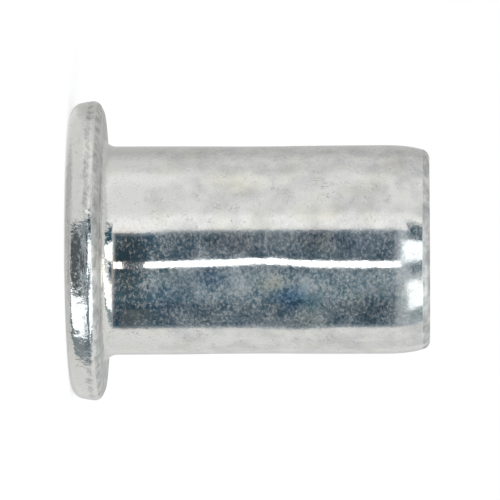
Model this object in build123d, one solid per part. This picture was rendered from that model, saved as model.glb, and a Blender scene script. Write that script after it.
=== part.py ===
from build123d import *
import os
from math import cos, radians, sin, tan

# A flat-head, open-end rivet nut for an M6 screw, turned and cold-formed from one piece of
# steel. The nut stands on its head: the head's outer face lies on z = 0 and the plain round
# body rises along +Z to the open, threaded tail. The origin is the centre of the outer face.
# Millimetres and degrees.

# Thread
thread_diameter = 6.0
thread_pitch = 1.0
thread_length = 7.2              # from the tail face to where the thread runs out
lead_in_width = 0.2              # how far each countersink opens past the thread
lead_in_angle = 120.0            # included angle of the tail countersink

# Body
overall_length = 15.45           # outer face of the head to the tail face
thread_wall = 1.5                # metal outside the thread, up to the body's surface
sleeve_wall = 1.0                # the thinner wall that folds when the nut is set
shoulder_slope = 45.0            # cone from the sleeve's bore to the thread, off the axis
shoulder_fillet = 0.3
mouth_radius = 0.25              # rounded entry in the head's outer face

# Head, upset so that its rim is widest at a crown near the underside. Leans are off the axis.
head_overhang = 1.965            # the rim's reach past the body
head_thickness = 1.42
face_edge_radius = 0.55
rim_lean = 13.0                  # the rim widens from the outer face
rim_bend_height = 0.76           # and more slowly from here to the crown
rim_bend_radius = 2.6
crown_lean = 3.5
crown_height = 1.055             # from the outer face to the crown
crown_radius = 0.12
bevel_lean = 26.0                # behind the crown the rim narrows again
bevel_height = 1.257             # down to here, where it turns in to the underside
bevel_radius = 0.35
underside_slope = 25.0           # up to the flat of the underside, off square to the axis
underside_edge_radius = 0.2
underhead_fillet = 0.53

# Nose, the lead that finds the hole in the sheet
nose_length = 1.0
nose_reduction = 0.27            # drop in radius from the body to the tail
nose_blend_radius = 4.3
tail_edge_radius = 0.39

# The thread is left at its tapping size: basic minor diameter of a metric internal thread
MINOR_FACTOR = 1.0825
minor_radius = (thread_diameter - MINOR_FACTOR * thread_pitch) / 2

body_radius = thread_diameter / 2 + thread_wall
bore_radius = body_radius - sleeve_wall
head_radius = body_radius + head_overhang


def sharp_crown_radius():
    """Radius of the crown's sharp corner, which its rounding brings back to head_radius."""
    before = radians(crown_lean)
    after = radians(bevel_lean)
    return head_radius + crown_radius * ((sin(before) + sin(after)) / sin(before + after) - 1)


def section_corners():
    """Sharp corners of the lengthwise section as (radius, z), in order round the metal."""
    crown = sharp_crown_radius()
    bend = crown - (crown_height - rim_bend_height) * tan(radians(crown_lean))
    bevel = crown - (bevel_height - crown_height) * tan(radians(bevel_lean))
    underside_width = (head_thickness - bevel_height) / tan(radians(underside_slope))
    lead_in_radius = thread_diameter / 2 + lead_in_width
    lead_in_depth = (lead_in_radius - minor_radius) / tan(radians(lead_in_angle / 2))
    thread_start = overall_length - thread_length
    shoulder_height = (bore_radius - minor_radius) / tan(radians(shoulder_slope))
    return {
        "mouth": (bore_radius, 0),
        "face edge": (bend - rim_bend_height * tan(radians(rim_lean)), 0),
        "rim bend": (bend, rim_bend_height),
        "crown": (crown, crown_height),
        "bevel": (bevel, bevel_height),
        "underside edge": (bevel - underside_width, head_thickness),
        "underhead": (body_radius, head_thickness),
        "nose start": (body_radius, overall_length - nose_length),
        "tail edge": (body_radius - nose_reduction, overall_length),
        "lead-in": (lead_in_radius, overall_length),
        "thread end": (minor_radius, overall_length - lead_in_depth),
        "thread start": (minor_radius, thread_start),
        "shoulder": (bore_radius, thread_start - shoulder_height),
    }


def rounded(section, corner, radius):
    """The section with its corner nearest to the given point turned into a tangent arc."""
    return fillet(section.vertices().sort_by_distance(corner)[0], radius)


def rivet_nut():
    """One turned section, rounded corner by corner and swept round the axis."""
    corners = section_corners()
    edge_radii = {
        "mouth": mouth_radius,
        "face edge": face_edge_radius,
        "rim bend": rim_bend_radius,
        "crown": crown_radius,
        "bevel": bevel_radius,
        "underside edge": underside_edge_radius,
        "underhead": underhead_fillet,
        "nose start": nose_blend_radius,
        "tail edge": tail_edge_radius,
        "shoulder": shoulder_fillet,
    }
    section = make_face(Polyline(*corners.values(), close=True))
    for name, radius in edge_radii.items():
        section = rounded(section, corners[name], radius)
    return revolve(Plane.XZ * section, axis=Axis.Z)


os.makedirs("parts", exist_ok=True)
export_step(rivet_nut(), "parts/rivet_nut.step")
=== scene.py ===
import bmesh
import bpy
import math
from mathutils import Matrix, Vector


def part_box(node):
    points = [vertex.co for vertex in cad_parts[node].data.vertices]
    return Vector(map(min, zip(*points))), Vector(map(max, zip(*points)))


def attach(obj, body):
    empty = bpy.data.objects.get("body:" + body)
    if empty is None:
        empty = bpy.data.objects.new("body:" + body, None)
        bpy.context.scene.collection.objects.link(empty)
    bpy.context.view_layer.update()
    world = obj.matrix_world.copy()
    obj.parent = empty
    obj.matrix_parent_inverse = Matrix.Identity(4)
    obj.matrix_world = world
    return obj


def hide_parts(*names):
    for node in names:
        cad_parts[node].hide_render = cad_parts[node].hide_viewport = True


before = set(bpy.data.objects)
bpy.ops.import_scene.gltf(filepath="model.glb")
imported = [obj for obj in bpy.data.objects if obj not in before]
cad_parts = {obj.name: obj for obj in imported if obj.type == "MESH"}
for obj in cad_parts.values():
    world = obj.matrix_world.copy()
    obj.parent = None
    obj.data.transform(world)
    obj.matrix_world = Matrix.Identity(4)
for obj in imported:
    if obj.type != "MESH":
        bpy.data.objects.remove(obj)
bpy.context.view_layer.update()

# ---------------------------------------------------------------------------------------------
# Rivet nut. One piece of mild steel, cold-formed with its head upset and its bore tapped M6,
# then zinc plated and passivated in a barrel. It is worked here in millimetres, as its
# lengthwise section spun round the axis, and the thread is cut by a tap.
MM = 0.001
nut_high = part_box("rivet_nut")[1]
hair = 0.001                     # the visible nut stays this far inside the solid it replaces

overall_length = nut_high.z / MM - hair
body_radius = 4.5
bore_radius = 3.5
mouth_radius = 0.25

head_radius = nut_high.x / MM - hair
head_thickness = 1.42
face_edge_radius = 0.55
rim_lean = math.radians(13)      # the rim widens from the outer face
rim_bend_height = 0.76           # and more slowly from here to the crown
rim_bend_radius = 2.6
crown_lean = math.radians(3.5)
crown_height = 1.055
crown_radius = 0.22
bevel_lean = math.radians(26)    # behind the crown the rim narrows again
bevel_height = 1.257
bevel_radius = 0.35
underside_slope = math.radians(25)
underside_edge_radius = 0.2
underhead_fillet = 0.53

nose_length = 1.0
nose_reduction = 0.27
nose_blend_radius = 4.3
tail_edge_radius = 0.39

thread_major_radius = 3.0
thread_pitch = 1.0
thread_half_angle = math.radians(30)
thread_depth = 0.54125 * thread_pitch    # down to the basic minor diameter
thread_minor_radius = thread_major_radius - thread_depth
thread_length = 7.2
shoulder_fillet = 0.3
lead_in_radius = thread_major_radius + 0.2
lead_in_slope = math.radians(60)
lead_in_edge_radius = 0.03

faces_round_nut = 192
faces_over_arc = 12
longest_face = 0.16
merge_distance = 1e-4
smoothing_limit = math.radians(30)


def section_points():
    """Sharp corners of the lengthwise section: radius, height, and the radius that rounds each."""
    crown_rise = (math.sin(crown_lean) + math.sin(bevel_lean)) / math.sin(crown_lean + bevel_lean)
    crown = head_radius + crown_radius * (crown_rise - 1)
    bend = crown - (crown_height - rim_bend_height) * math.tan(crown_lean)
    bevel = crown - (bevel_height - crown_height) * math.tan(bevel_lean)
    underside_width = (head_thickness - bevel_height) / math.tan(underside_slope)
    thread_start = overall_length - thread_length
    lead_in_depth = (lead_in_radius - thread_minor_radius) / math.tan(lead_in_slope)
    return [
        (bore_radius, 0, mouth_radius),
        (bend - rim_bend_height * math.tan(rim_lean), 0, face_edge_radius),
        (bend, rim_bend_height, rim_bend_radius),
        (crown, crown_height, crown_radius),
        (bevel, bevel_height, bevel_radius),
        (bevel - underside_width, head_thickness, underside_edge_radius),
        (body_radius, head_thickness, underhead_fillet),
        (body_radius, overall_length - nose_length, nose_blend_radius),
        (body_radius - nose_reduction, overall_length, tail_edge_radius),
        (lead_in_radius, overall_length, lead_in_edge_radius),
        (thread_minor_radius, overall_length - lead_in_depth, 0),
        (thread_minor_radius, thread_start, 0),
        (bore_radius, thread_start - (bore_radius - thread_minor_radius), shoulder_fillet),
    ]


def round_corner(bm, vert, radius, segments):
    """Turns one corner of a wire outline into an arc of the given radius."""
    before, after = (edge.other_vert(vert).co - vert.co for edge in vert.link_edges)
    reach = radius / math.tan(before.angle(after) / 2)
    bmesh.ops.bevel(bm, geom=[vert], offset=reach, offset_type="OFFSET", segments=segments,
                    profile=0.5, affect="VERTICES", material=-1)


def divide_runs(bm, longest):
    """Splits the straight runs of a wire outline, so that the spun faces stay short."""
    for edge in list(bm.edges):
        cuts = int(edge.calc_length() / longest)
        if cuts:
            bmesh.ops.subdivide_edges(bm, edges=[edge], cuts=cuts)


nut_shape = bmesh.new()
points = section_points()
corners = [nut_shape.verts.new((radius, 0, height)) for radius, height, rounding in points]
for corner, following in zip(corners, corners[1:] + corners[:1]):
    nut_shape.edges.new((corner, following))
for corner, (radius, height, rounding) in zip(corners, points):
    if rounding:
        round_corner(nut_shape, corner, rounding, faces_over_arc)
divide_runs(nut_shape, longest_face)
bmesh.ops.spin(nut_shape, geom=nut_shape.verts[:] + nut_shape.edges[:], cent=(0, 0, 0),
               axis=(0, 0, 1), angle=2 * math.pi, steps=faces_round_nut, use_merge=True)
bmesh.ops.remove_doubles(nut_shape, verts=nut_shape.verts, dist=merge_distance)
bmesh.ops.recalc_face_normals(nut_shape, faces=nut_shape.faces)

# Upsetting the head and plating in a barrel leave the sleeve a few hundredths out of true.
sleeve_hollows = [
    # height, degrees round from the front, depth, spread along, spread round in degrees
    (8.0, 0, 0.026, 2.6, 1000),  # a spread of 1000 goes all the way round
    (2.18, -8, 0.034, 0.95, 35),
    (2.6, 24, 0.046, 1.3, 13),
    (14.1, 0, 0.008, 0.4, 1000),
    (8.26, -14, 0.038, 1.7, 11),
    (5.3, -16, 0.013, 1.5, 12),
    (9.6, -41, 0.040, 1.2, 12),
]
flare_start = 1.78               # the sleeve flares a little into the fillet under the head
flare_length = 0.3
outer_wall = body_radius - nose_reduction - tail_edge_radius
for vert in nut_shape.verts:
    radius = math.hypot(vert.co.x, vert.co.y)
    if radius < outer_wall or vert.co.z <= head_thickness:
        continue
    angle = math.degrees(math.atan2(-vert.co.x, -vert.co.y))
    sunk = 0
    for height, middle, depth, along, around in sleeve_hollows:
        turn = (angle - middle + 180) % 360 - 180
        sunk += depth * math.exp(-((vert.co.z - height) / along) ** 2 - (turn / around) ** 2)
    sunk *= min(1, max(0, vert.co.z - flare_start) / flare_length)
    vert.co.x *= 1 - sunk / radius
    vert.co.y *= 1 - sunk / radius

# The tap is one 60 degree tooth wound up its helix, trimmed flat and closed at both ends.
tap_core_gap = 0.15              # keeps the core of the tap clear of the bore
tap_core_radius = thread_minor_radius - tap_core_gap
tap_crest = thread_pitch / 8
tap_crest_radius = 0.05
faces_over_crest = 3
tap_base = tap_crest + 2 * (thread_major_radius - tap_core_radius) * math.tan(thread_half_angle)
faces_round_thread = 64
tap_run_out = 0.85               # the last part-formed turns, in the cone past the thread
tap_overrun = 0.5                # how far the tap stands out of the tail
tap_start = overall_length - thread_length - tap_run_out
tap_end = overall_length + tap_overrun
spare_turns = 4                  # trimmed off with the ends
tap_turns = math.ceil(thread_length / thread_pitch) + spare_turns
plane_tolerance = 1e-5

tap_shape = bmesh.new()
tooth = [
    (tap_core_radius, -tap_base / 2),
    (thread_major_radius, -tap_crest / 2),
    (thread_major_radius, tap_crest / 2),
    (tap_core_radius, tap_base / 2),
    (tap_core_radius, thread_pitch - tap_base / 2),
]
tooth_verts = [tap_shape.verts.new((radius, 0, height + tap_start - thread_pitch))
               for radius, height in tooth]
for vert, following in zip(tooth_verts, tooth_verts[1:]):
    tap_shape.edges.new((vert, following))
for vert in tooth_verts[1:3]:
    round_corner(tap_shape, vert, tap_crest_radius, faces_over_crest)
bmesh.ops.spin(tap_shape, geom=tap_shape.verts[:] + tap_shape.edges[:], cent=(0, 0, 0),
               axis=(0, 0, 1), dvec=(0, 0, thread_pitch / faces_round_thread),
               angle=2 * math.pi * tap_turns, steps=faces_round_thread * tap_turns)
bmesh.ops.remove_doubles(tap_shape, verts=tap_shape.verts, dist=merge_distance)
for height, outward in ((tap_start, -1), (tap_end, 1)):
    everything = tap_shape.verts[:] + tap_shape.edges[:] + tap_shape.faces[:]
    bmesh.ops.bisect_plane(tap_shape, geom=everything, dist=plane_tolerance,
                           plane_co=(0, 0, height), plane_no=(0, 0, outward), clear_outer=True)
    rim = [edge for edge in tap_shape.edges if edge.is_boundary
           and all(abs(vert.co.z - height) < merge_distance for vert in edge.verts)]
    bmesh.ops.edgeloop_fill(tap_shape, edges=rim)
bmesh.ops.recalc_face_normals(tap_shape, faces=tap_shape.faces)


def as_object(name, bm):
    """Puts a finished bmesh into a new object of the scene."""
    mesh = bpy.data.meshes.new(name)
    bm.to_mesh(mesh)
    bm.free()
    made = bpy.data.objects.new(name, mesh)
    bpy.context.scene.collection.objects.link(made)
    return made


nut = as_object("rivet_nut_tapped", nut_shape)
tap = as_object("tap", tap_shape)
cut = nut.modifiers.new("thread", "BOOLEAN")
cut.operation = "DIFFERENCE"
cut.solver = "EXACT"
cut.object = tap
tapped = bpy.data.meshes.new_from_object(
    nut.evaluated_get(bpy.context.evaluated_depsgraph_get()))
nut.modifiers.clear()
nut.data = tapped
bpy.data.objects.remove(tap)
nut.data.transform(Matrix.Scale(MM, 4))
nut.data.shade_smooth()
nut.data.set_sharp_from_angle(angle=smoothing_limit)


def linear(colour):
    """An sRGB hex colour as linear RGBA."""
    parts = [int(colour[i:i + 2], 16) / 255 for i in (1, 3, 5)]
    return [c / 12.92 if c <= 0.04045 else ((c + 0.055) / 1.055) ** 2.4 for c in parts] + [1]


def add_node(tree, kind, inputs, **settings):
    """Adds one node; each input is given a plain value or the socket that drives it."""
    made = tree.nodes.new(kind)
    for name, value in settings.items():
        setattr(made, name, value)
    for key, value in inputs.items():
        if isinstance(value, bpy.types.NodeSocket):
            tree.links.new(value, made.inputs[key])
        else:
            made.inputs[key].default_value = value
    return made


# Bright zinc plate with a clear blue passivate, plated in a barrel. To the eye it is a
# polished, slightly blue metal under a thin milky bloom, so it mirrors dark things through
# pale mottles. Where parts knock together in the barrel it is worn matt and grey. The grain of
# a real bloom, about 0.02 mm, and hair-fine scuffs are too fine to show, so the wisps of the
# bloom are drawn 0.18 mm across and the scuffs about 0.03 mm wide.
cloud_size = 1.1                 # in millimetres, as is every size on the nut
wisp_size = 0.18
rag_size = 0.5
grime_size = 0.9
straw_size = 1.3
fleck_size = 0.2
scuff_size = 0.7                 # across the loops that the scuffs follow
rubbing_size = 0.45
dent_size = 0.4
dent_depth = 0.028

clean_zinc = linear("#D6D6D3")
smoked_zinc = linear("#BFC0BF")
straw_zinc = linear("#D7D5B8")
scuff_grey = linear("#8E8D89")
rubbed_zinc = linear("#9C9E9C")

zinc = bpy.data.materials.new("zinc_plated_steel_blue_passivate")
zinc.use_nodes = True
zinc_tree = zinc.node_tree
zinc_tree.nodes.clear()
coordinates = add_node(zinc_tree, "ShaderNodeTexCoord", {})
place = add_node(zinc_tree, "ShaderNodeMapping",
                 {"Vector": coordinates.outputs["Object"], "Scale": (1 / MM, 1 / MM, 1 / MM)})
spot = add_node(zinc_tree, "ShaderNodeSeparateXYZ", {0: place.outputs[0]})
up_nut = spot.outputs["Z"]

# Both signs are turned, so that angles round the nut start at its front, towards the camera.
spot_x = add_node(zinc_tree, "ShaderNodeMath", {0: spot.outputs["X"], 1: -1.0},
                  operation="MULTIPLY")
spot_y = add_node(zinc_tree, "ShaderNodeMath", {0: spot.outputs["Y"], 1: -1.0},
                  operation="MULTIPLY")
round_nut = add_node(zinc_tree, "ShaderNodeMath", {0: spot_x.outputs[0], 1: spot_y.outputs[0]},
                     operation="ARCTAN2").outputs[0]

# The first few millimetres of sleeve are cleaner, because the head shields them in the barrel.
shielded_height = 2.8
shielded_fade = 1.6
near_head = add_node(zinc_tree, "ShaderNodeMapRange",
                     {"Value": up_nut, "From Min": shielded_height,
                      "From Max": shielded_height + shielded_fade,
                      "To Min": 1.0, "To Max": 0.0}).outputs[0]

# One flank, 20 degrees round from the front, has a patchier bloom.
flank_angle = math.radians(-20)
from_flank = add_node(zinc_tree, "ShaderNodeMath", {0: round_nut, 1: flank_angle},
                      operation="SUBTRACT")
flank_distance = add_node(zinc_tree, "ShaderNodeMath", {0: from_flank.outputs[0]},
                          operation="ABSOLUTE")
flank = add_node(zinc_tree, "ShaderNodeMapRange",
                 {"Value": flank_distance.outputs[0], "From Min": math.radians(5),
                  "From Max": math.radians(16), "To Min": 1.0, "To Max": 0.0}).outputs[0]

# The bevel under the head and the edge of the tail are worn matt.
bevel_middle = (bevel_height + head_thickness) / 2
worn_half_width = 0.13
worn_fade = 0.09
worn_tail_width = 0.35
worn_tail_fade = 0.07
from_bevel = add_node(zinc_tree, "ShaderNodeMath", {0: up_nut, 1: bevel_middle},
                      operation="SUBTRACT")
bevel_distance = add_node(zinc_tree, "ShaderNodeMath", {0: from_bevel.outputs[0]},
                          operation="ABSOLUTE")
worn_bevel = add_node(zinc_tree, "ShaderNodeMapRange",
                      {"Value": bevel_distance.outputs[0], "From Min": worn_half_width,
                       "From Max": worn_half_width + worn_fade, "To Min": 1.0, "To Max": 0.0})
worn_tail = add_node(zinc_tree, "ShaderNodeMapRange",
                     {"Value": up_nut, "From Min": overall_length - worn_tail_width,
                      "From Max": overall_length - worn_tail_width + worn_tail_fade})
worn = add_node(zinc_tree, "ShaderNodeMath",
                {0: worn_bevel.outputs[0], 1: worn_tail.outputs[0]},
                operation="MAXIMUM").outputs[0]

# The bloom: ragged wisps over broader clouds, the wisps a little shorter along the nut than
# round it. It is thinner and more broken near the head, and worn places look milky too.
clouds = add_node(zinc_tree, "ShaderNodeTexNoise",
                  {"Vector": place.outputs[0], "Scale": 1 / cloud_size, "Detail": 2.0,
                   "Roughness": 0.5}).outputs[0]
shortened = add_node(zinc_tree, "ShaderNodeMapping",
                     {"Vector": place.outputs[0], "Scale": (1, 1, 1.35)})
wisps = add_node(zinc_tree, "ShaderNodeTexNoise",
                 {"Vector": shortened.outputs[0], "Scale": 1 / wisp_size, "Detail": 4.0,
                  "Roughness": 0.75, "Distortion": 0.2}).outputs[0]
ragged = add_node(zinc_tree, "ShaderNodeTexNoise",
                  {"Vector": place.outputs[0], "Scale": 1 / rag_size, "Detail": 4.0,
                   "Roughness": 0.65}).outputs[0]
contrast = 1.2
for zone, share in ((near_head, 0.95), (flank, 0.2)):
    contrast = add_node(zinc_tree, "ShaderNodeMath", {0: zone, 1: share, 2: contrast},
                        operation="MULTIPLY_ADD").outputs[0]
milky = -0.26
for layer, share in ((clouds, 0.35), (near_head, -0.62), (flank, -0.04), (wisps, contrast),
                     (ragged, 0.32), (worn, 0.2)):
    milky = add_node(zinc_tree, "ShaderNodeMath", {0: layer, 1: share, 2: milky},
                     operation="MULTIPLY_ADD").outputs[0]


def patch(middle_height, middle_angle, half_length, half_width, strength):
    """A ragged patch on the sleeve: its strength in the middle, falling to 0 outside.

    The noise that frays its edge adds 0.9 on average, so it fades from 0.2 to 1.7 half sizes.
    """
    up_from_middle = add_node(zinc_tree, "ShaderNodeMath", {0: up_nut, 1: middle_height},
                              operation="SUBTRACT")
    lengthwise = add_node(zinc_tree, "ShaderNodeMath",
                          {0: up_from_middle.outputs[0], 1: half_length}, operation="DIVIDE")
    round_from_middle = add_node(zinc_tree, "ShaderNodeMath",
                                 {0: round_nut, 1: math.radians(middle_angle)},
                                 operation="SUBTRACT")
    crosswise = add_node(zinc_tree, "ShaderNodeMath",
                         {0: round_from_middle.outputs[0], 1: math.radians(half_width)},
                         operation="DIVIDE")
    pair = add_node(zinc_tree, "ShaderNodeCombineXYZ",
                    {0: lengthwise.outputs[0], 1: crosswise.outputs[0]})
    apart = add_node(zinc_tree, "ShaderNodeVectorMath", {0: pair.outputs[0]}, operation="LENGTH")
    frayed = add_node(zinc_tree, "ShaderNodeMath",
                      {0: ragged, 1: 1.8, 2: apart.outputs["Value"]}, operation="MULTIPLY_ADD")
    return add_node(zinc_tree, "ShaderNodeMapRange",
                    {"Value": frayed.outputs[0], "From Min": 1.1, "From Max": 2.6,
                     "To Min": strength, "To Max": 0.0},
                    interpolation_type="SMOOTHSTEP").outputs[0]


thick_bloom = [
    # height, degrees round from the front, half length, half width in degrees, what it adds
    (3.5, -19, 0.4, 6, 0.17),
    (7.4, -21, 0.45, 7, 0.14),
    (8.8, -18, 0.4, 6, 0.2),
    (10.2, -21, 0.4, 7, 0.16),
    (13.7, -15, 0.4, 10, 0.12),
    (8.2, 5, 0.8, 5, 0.11),
    (11.1, 4, 0.5, 5, 0.1),
]
for thickening in thick_bloom:
    milky = add_node(zinc_tree, "ShaderNodeMath", {0: patch(*thickening), 1: milky},
                     operation="ADD").outputs[0]
bare_metal = add_node(zinc_tree, "ShaderNodeMapRange",
                      {"Value": milky, "From Min": 0.55, "From Max": 0.95,
                       "To Min": 1.0, "To Max": 0.52})

# A bright deposit is nearly a mirror, a little duller under the clouds and matt where worn.
dull = add_node(zinc_tree, "ShaderNodeMath", {0: near_head, 1: -0.2, 2: clouds},
                operation="MULTIPLY_ADD")
dullness = add_node(zinc_tree, "ShaderNodeMapRange",
                    {"Value": dull.outputs[0], "From Min": 0.3, "From Max": 0.7,
                     "To Min": 0.06, "To Max": 0.13})
matt = add_node(zinc_tree, "ShaderNodeMath", {0: worn, 1: 0.36, 2: dullness.outputs[0]},
                operation="MULTIPLY_ADD")

# Thin smoke from the rinse, and a straw tint where the passivate runs thicker.
grime = add_node(zinc_tree, "ShaderNodeTexNoise",
                 {"Vector": place.outputs[0], "Scale": 1 / grime_size, "Detail": 3.0,
                  "Roughness": 0.55})
grimy = add_node(zinc_tree, "ShaderNodeMath", {0: near_head, 1: -0.25, 2: grime.outputs[0]},
                 operation="MULTIPLY_ADD")
smoke = add_node(zinc_tree, "ShaderNodeMapRange",
                 {"Value": grimy.outputs[0], "From Min": 0.38, "From Max": 0.68})
smoky = add_node(zinc_tree, "ShaderNodeMix",
                 {0: smoke.outputs[0], 6: clean_zinc, 7: smoked_zinc}, data_type="RGBA")
yellow = add_node(zinc_tree, "ShaderNodeTexNoise",
                  {"Vector": place.outputs[0], "Scale": 1 / straw_size, "Detail": 1.0,
                   "Roughness": 0.5})
yellowed = add_node(zinc_tree, "ShaderNodeMapRange",
                    {"Value": yellow.outputs[0], "From Min": 0.5, "From Max": 0.72,
                     "To Max": 0.18})
straw = add_node(zinc_tree, "ShaderNodeMix",
                 {0: yellowed.outputs[0], 6: smoky.outputs[2], 7: straw_zinc},
                 data_type="RGBA")

# Small grey flecks, and curved scuffs gathered where the bloom is ragged.
flecks = add_node(zinc_tree, "ShaderNodeTexNoise",
                  {"Vector": place.outputs[0], "Scale": 1 / fleck_size, "Detail": 3.0,
                   "Roughness": 0.65, "Distortion": 0.6})
fleck = add_node(zinc_tree, "ShaderNodeMapRange",
                 {"Value": flecks.outputs[0], "From Min": 0.64, "From Max": 0.74,
                  "To Max": 0.55})
scuff_curves = add_node(zinc_tree, "ShaderNodeTexNoise",
                        {"Vector": place.outputs[0], "Scale": 1 / scuff_size, "Detail": 3.0,
                         "Roughness": 0.6, "Distortion": 0.8})
from_curve = add_node(zinc_tree, "ShaderNodeMath", {0: scuff_curves.outputs[0], 1: 0.5},
                      operation="SUBTRACT")
curve_distance = add_node(zinc_tree, "ShaderNodeMath", {0: from_curve.outputs[0]},
                          operation="ABSOLUTE")
scuff_line = add_node(zinc_tree, "ShaderNodeMapRange",
                      {"Value": curve_distance.outputs[0], "From Min": 0.004, "From Max": 0.018,
                       "To Min": 1.0, "To Max": 0.0})
scuffed = add_node(zinc_tree, "ShaderNodeMapRange",
                   {"Value": ragged, "From Min": 0.48, "From Max": 0.6, "To Max": 0.5})
scuff = add_node(zinc_tree, "ShaderNodeMath", {0: scuff_line.outputs[0], 1: scuffed.outputs[0]},
                 operation="MULTIPLY")
marks = add_node(zinc_tree, "ShaderNodeMath", {0: fleck.outputs[0], 1: scuff.outputs[0]},
                 operation="MAXIMUM")
marked = add_node(zinc_tree, "ShaderNodeMix",
                  {0: marks.outputs[0], 6: straw.outputs[2], 7: scuff_grey},
                  data_type="RGBA")

# The crown of the head and the worn edges are rubbed grey in the barrel.
rubbed_height = 0.92             # between the bend and the crown of the rim
from_crown = add_node(zinc_tree, "ShaderNodeMath", {0: up_nut, 1: rubbed_height},
                      operation="SUBTRACT")
crown_distance = add_node(zinc_tree, "ShaderNodeMath", {0: from_crown.outputs[0]},
                          operation="ABSOLUTE")
rubbed_crown = add_node(zinc_tree, "ShaderNodeMapRange",
                        {"Value": crown_distance.outputs[0], "From Min": 0.05, "From Max": 0.42,
                         "To Min": 0.5, "To Max": 0.0})
rubbed_edge = add_node(zinc_tree, "ShaderNodeMath", {0: worn, 1: 0.5}, operation="MULTIPLY")
rubbed_zone = add_node(zinc_tree, "ShaderNodeMath",
                       {0: rubbed_crown.outputs[0], 1: rubbed_edge.outputs[0]},
                       operation="MAXIMUM")
rubbing = add_node(zinc_tree, "ShaderNodeTexNoise",
                   {"Vector": place.outputs[0], "Scale": 1 / rubbing_size, "Detail": 4.0,
                    "Roughness": 0.65, "Distortion": 0.4})
rubbed_sum = add_node(zinc_tree, "ShaderNodeMath",
                      {0: rubbing.outputs[0], 1: rubbed_zone.outputs[0]}, operation="ADD")
rubbed = add_node(zinc_tree, "ShaderNodeMapRange",
                  {"Value": rubbed_sum.outputs[0], "From Min": 0.86, "From Max": 1.16,
                   "To Max": 0.95})
rubbed_grey = add_node(zinc_tree, "ShaderNodeMix",
                       {0: rubbed.outputs[0], 6: marked.outputs[2], 7: rubbed_zinc},
                       data_type="RGBA")

# Stains where the passivate film runs thicker, and painted shade on the sleeve next to the head.
stains_and_head_shade = [
    # height, degrees round from the front, half length, half width in degrees, strength, tint
    (9.6, -27, 0.8, 8, 0.7, "#70ACD4"),
    (10.4, -30, 0.5, 6, 0.45, "#84C4C8"),
    (8.8, -19, 0.7, 5, 0.5, "#FFF3D2"),
    (12.9, -34, 1.0, 9, 0.35, "#C9BFB2"),
    (6.1, -15, 0.8, 5, 0.45, "#8FA9CC"),
    (7.1, 4, 1.0, 6, 0.45, "#D0C2C4"),
    (10.8, 6, 0.9, 6, 0.45, "#CDBFC0"),
    (12.3, 3, 0.9, 6, 0.4, "#A7BCD6"),
    (4.2, -28, 0.9, 10, 0.4, "#A9C0D8"),
    # Painted shade: these two warm tints darken the sleeve just below the head.
    (2.3, -19, 0.95, 19, 0.85, "#F2E3DB"),
    (2.65, -39, 0.75, 8, 0.6, "#C9C4BD"),
    (7.3, 41, 1.2, 8, 0.5, "#FFFDF2"),
    (10.6, 20, 1.0, 5, 0.5, "#FCFAF0"),
    (14.0, 55, 0.5, 11, 0.5, "#D5D3CA"),
    (13.1, 38, 0.5, 8, 0.35, "#DCDAD2"),
    # More painted shade: these two warm tints darken the sleeve just below the head.
    (2.6, -15, 0.6, 8, 0.45, "#DCCEC0"),
    (2.7, 1, 0.65, 9, 0.7, "#DCCBC0"),
]
tints_start = 1.8               # near the end of the fillet under the head
tints_fade = 0.06
on_sleeve = add_node(zinc_tree, "ShaderNodeMapRange",
                     {"Value": up_nut, "From Min": tints_start,
                      "From Max": tints_start + tints_fade})
stained_and_shaded = rubbed_grey.outputs[2]
for *where, tint in stains_and_head_shade:
    film_and_shade = add_node(zinc_tree, "ShaderNodeMath", {0: patch(*where), 1: on_sleeve.outputs[0]},
                    operation="MULTIPLY")
    stained_and_shaded = add_node(zinc_tree, "ShaderNodeMix",
                       {0: film_and_shade.outputs[0], 6: stained_and_shaded, 7: linear(tint)},
                       data_type="RGBA", blend_type="MULTIPLY").outputs[2]

# Knocks from the barrel: dents that are deepest on the head and shallow on the sleeve, and a
# little deeper again towards the tail.
head_knocks_end = 1.7
head_knocks_fade = 0.3
tail_knocks_start = 14.2
tail_knocks_fade = 0.6
head_knocks = add_node(zinc_tree, "ShaderNodeMapRange",
                       {"Value": up_nut, "From Min": head_knocks_end,
                        "From Max": head_knocks_end + head_knocks_fade,
                        "To Min": 1.0, "To Max": 0.13})
tail_knocks = add_node(zinc_tree, "ShaderNodeMapRange",
                       {"Value": up_nut, "From Min": tail_knocks_start,
                        "From Max": tail_knocks_start + tail_knocks_fade,
                        "To Min": 0.0, "To Max": 0.16})
knocks = add_node(zinc_tree, "ShaderNodeMath",
                  {0: head_knocks.outputs[0], 1: tail_knocks.outputs[0]}, operation="ADD")
dents = add_node(zinc_tree, "ShaderNodeTexNoise",
                 {"Vector": place.outputs[0], "Scale": 1 / dent_size, "Detail": 3.0,
                  "Roughness": 0.6})
dented = add_node(zinc_tree, "ShaderNodeBump",
                  {"Height": dents.outputs[0], "Strength": knocks.outputs[0],
                   "Distance": dent_depth * MM})
zinc_surface = add_node(zinc_tree, "ShaderNodeBsdfPrincipled",
                        {"Base Color": stained_and_shaded, "Metallic": bare_metal.outputs[0],
                         "Roughness": matt.outputs[0], "Normal": dented.outputs[0]})
add_node(zinc_tree, "ShaderNodeOutputMaterial", {"Surface": zinc_surface.outputs["BSDF"]})
nut.data.materials.clear()
nut.data.materials.append(zinc)
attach(nut, "root")
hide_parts("rivet_nut")

# ---------------------------------------------------------------------------------------------
# Floor. A plain sheet of white paper that the nut stands on, not part of it. It glows a
# little, so that it meets the backdrop without an edge and still takes the nut's shadow, and
# the nut doesn't mirror it, only the studio.
floor_radius = 0.5
paper_grey = linear("#9C9C9C")
glow_strength = 0.72             # with the light that the sheet reflects, this makes it white

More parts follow.
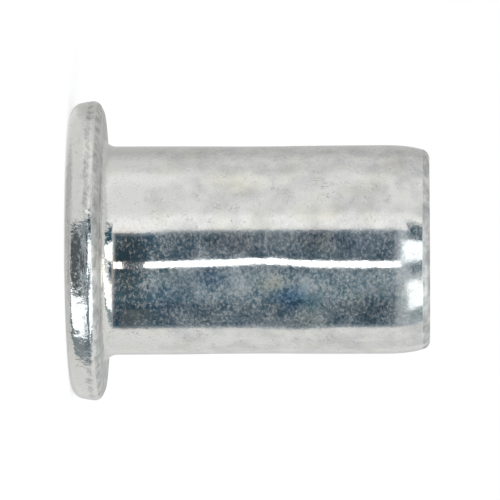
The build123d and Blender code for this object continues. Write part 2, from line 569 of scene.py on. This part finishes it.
floor_shape = bmesh.new()
bmesh.ops.create_circle(floor_shape, cap_ends=True, segments=96, radius=floor_radius)
floor = as_object("floor", floor_shape)
paper = bpy.data.materials.new("white_paper")
paper.use_nodes = True
paper_tree = paper.node_tree
paper_tree.nodes.clear()
paper_face = add_node(paper_tree, "ShaderNodeBsdfDiffuse", {"Color": paper_grey})
paper_glow = add_node(paper_tree, "ShaderNodeEmission", {"Strength": glow_strength})
paper_lit = add_node(paper_tree, "ShaderNodeAddShader",
                     {0: paper_face.outputs[0], 1: paper_glow.outputs[0]})
add_node(paper_tree, "ShaderNodeOutputMaterial", {"Surface": paper_lit.outputs[0]})
floor.data.materials.append(paper)
floor.visible_glossy = False

# ---------------------------------------------------------------------------------------------
# Studio. A plain white backdrop all round, which the camera sees, and so does anything seen
# through glass. Grey and dark cards and a few soft boxes hang in front of it, to light the nut
# softly and to be mirrored in it, for polished zinc looks like what it mirrors.
studio = bpy.data.worlds.new("studio")
bpy.context.scene.world = studio
studio.use_nodes = True
studio_tree = studio.node_tree
studio_tree.nodes.clear()
direction = add_node(studio_tree, "ShaderNodeTexCoord", {})
heading = add_node(studio_tree, "ShaderNodeSeparateXYZ", {0: direction.outputs["Generated"]})

# Azimuth 0 is the side that the camera stands on, as on the nut.
heading_x = add_node(studio_tree, "ShaderNodeMath", {0: heading.outputs["X"], 1: -1.0},
                     operation="MULTIPLY")
heading_y = add_node(studio_tree, "ShaderNodeMath", {0: heading.outputs["Y"], 1: -1.0},
                     operation="MULTIPLY")
azimuth = add_node(studio_tree, "ShaderNodeMath",
                   {0: heading_x.outputs[0], 1: heading_y.outputs[0]}, operation="ARCTAN2")
elevation = add_node(studio_tree, "ShaderNodeMath", {0: heading.outputs["Z"]},
                     operation="ARCSINE")

# The light that each thing sends, as linear red, green and blue.
backdrop = (1, 1, 1)
soft_box = (1.83, 1.94, 2.04)
upper_soft_box = (3.1, 3.2, 3.3)
strip_lamp = (3.41, 3.52, 3.64)
dark_card = (0.043, 0.097, 0.148)
cards = [
    # azimuth from and to, elevation from and to, softness of the edge, all in degrees, and light
    # Pale walls and screens round the back and sides.
    (-150, -93, -90, 90, 8, (0.963, 0.963, 0.963)),
    (-185, -122, -90, 90, 16, (0.876, 0.876, 0.876)),
    (98, 150, -20, 40, 10, (0.854, 0.85, 0.858)),
    (125, 185, -90, 90, 14, (0.61, 0.61, 0.61)),
    (76, 92, -60, 60, 8, (1.095, 1.095, 1.095)),
    (10, 40, -60, 60, 6, (1.25, 1.25, 1.25)),
    # Table, darker towards straight down.
    (-200, 200, -90, -13, 5, (0.876, 0.876, 0.876)),
    (-200, 200, -90, -45, 12, (0.733, 0.733, 0.733)),
    (-200, 200, -90, -71, 8, (0.5, 0.5, 0.5)),
    (60, 200, -90, -48, 10, (0.6, 0.6, 0.6)),
    # Ceiling, and the wall behind the nut.
    (-32, 130, 42, 95, 7, (0.8, 0.8, 0.8)),
    (120, 200, 24, 95, 8, (0.68, 0.68, 0.68)),
    (-200, -120, 24, 95, 8, (0.9, 0.9, 0.9)),
    (-200, -157, -90, 90, 9, (0.7, 0.7, 0.7)),
    (-200, 200, 76, 95, 6, (0.85, 0.85, 0.85)),
    # Dark cards round the camera, which give the nut its dark side.
    (-95.5, 21.7, -62, 34, 0.8, (0.512, 0.582, 0.642)),
    (-94, 20.5, -60, -18, 6, (0.116, 0.135, 0.148)),
    (-94, 20.5, -12, 5.5, 5.5, dark_card),
    (-94, 20.5, -17, -7.6, 1.3, (0.463, 0.521, 0.58)),
    (-58, -24, -7, 5, 5, (0.078, 0.165, 0.228)),
    (-94, -69, -45, -4, 3, (0.278, 0.328, 0.354)),
    (-28, -13, 17, 38, 3, (0.079, 0.161, 0.227)),
    (9, 30, 15, 66, 4, (0.045, 0.11, 0.155)),
    (-88, -72, 12, 60, 4, (0.31, 0.395, 0.42)),
    (-88, -72, 38, 62, 4, (0.15, 0.2, 0.21)),
    # Soft boxes above and below the camera, and a narrow strip lamp beside it.
    (-72.5, -37, 13, 68, 3, soft_box),
    (-14, 10, 10.5, 66, 2.5, soft_box),
    (-19.4, -13.0, -4.3, 9, 0.6, strip_lamp),
    (-20, -12.6, -14, -7, 1.6, (0.6, 0.78, 0.85)),
    (-71, -38.5, -55, -12, 3, soft_box),
    (-72.5, -37, 45, 82, 5, upper_soft_box),
]
light = (*backdrop, 1)
for left, right, low, high, softness, sends in cards:
    past_edges = []
    for angle, start, end in ((azimuth, left, right), (elevation, low, high)):
        from_middle = add_node(studio_tree, "ShaderNodeMath",
                               {0: angle.outputs[0], 1: math.radians((start + end) / 2)},
                               operation="SUBTRACT")
        distance = add_node(studio_tree, "ShaderNodeMath", {0: from_middle.outputs[0]},
                            operation="ABSOLUTE")
        past_edges.append(add_node(studio_tree, "ShaderNodeMath",
                                   {0: distance.outputs[0], 1: math.radians((end - start) / 2)},
                                   operation="SUBTRACT"))
    outside = add_node(studio_tree, "ShaderNodeMath",
                       {0: past_edges[0].outputs[0], 1: past_edges[1].outputs[0]},
                       operation="MAXIMUM")
    card = add_node(studio_tree, "ShaderNodeMapRange",
                    {"Value": outside.outputs[0], "From Min": math.radians(-softness),
                     "From Max": math.radians(softness), "To Min": 1.0, "To Max": 0.0},
                    interpolation_type="SMOOTHSTEP")
    light = add_node(studio_tree, "ShaderNodeMix",
                     {0: card.outputs[0], 6: light, 7: (*sends, 1)},
                     data_type="RGBA").outputs[2]
path = add_node(studio_tree, "ShaderNodeLightPath", {})
sees_backdrop = add_node(studio_tree, "ShaderNodeMath",
                         {0: path.outputs["Is Camera Ray"],
                          1: path.outputs["Is Transmission Ray"]}, operation="MAXIMUM")
shown = add_node(studio_tree, "ShaderNodeMix",
                 {0: sees_backdrop.outputs[0], 6: light, 7: (*backdrop, 1)}, data_type="RGBA")
background = add_node(studio_tree, "ShaderNodeBackground", {"Color": shown.outputs[2]})
add_node(studio_tree, "ShaderNodeOutputWorld", {"Surface": background.outputs[0]})

# ---------------------------------------------------------------------------------------------
# Camera. It stands about level with the nut and far off, for little perspective, and is
# turned on its side, so that the nut lies across the view with its head to the left and a few
# millimetres free at both ends.
camera_distance = 258.9 * MM
camera_height = 14.38 * MM
aim_height = 7.70 * MM
view_width = 21.5815 * MM        # measured at the nut
roll = math.radians(0.26)
nearest_seen = 0.01
farthest_seen = 10

camera = bpy.data.objects.new("camera", bpy.data.cameras.new("camera"))
bpy.context.scene.collection.objects.link(camera)
stand = Vector((0, -camera_distance, camera_height))
sight = Vector((0, 0, aim_height)) - stand
forward = sight.normalized()
along_nut = (Vector((0, 0, 1)) - forward.z * forward).normalized()
across_nut = along_nut.cross(forward)
right = math.cos(roll) * along_nut - math.sin(roll) * across_nut
up = math.sin(roll) * along_nut + math.cos(roll) * across_nut
facing = Matrix((right, up, -forward)).transposed().to_4x4()
camera.matrix_world = Matrix.Translation(stand) @ facing
camera.data.lens = camera.data.sensor_width * sight.length / view_width
camera.data.clip_start = nearest_seen
camera.data.clip_end = farthest_seen
bpy.context.scene.camera = camera

bpy.context.scene.view_settings.view_transform = "Standard"
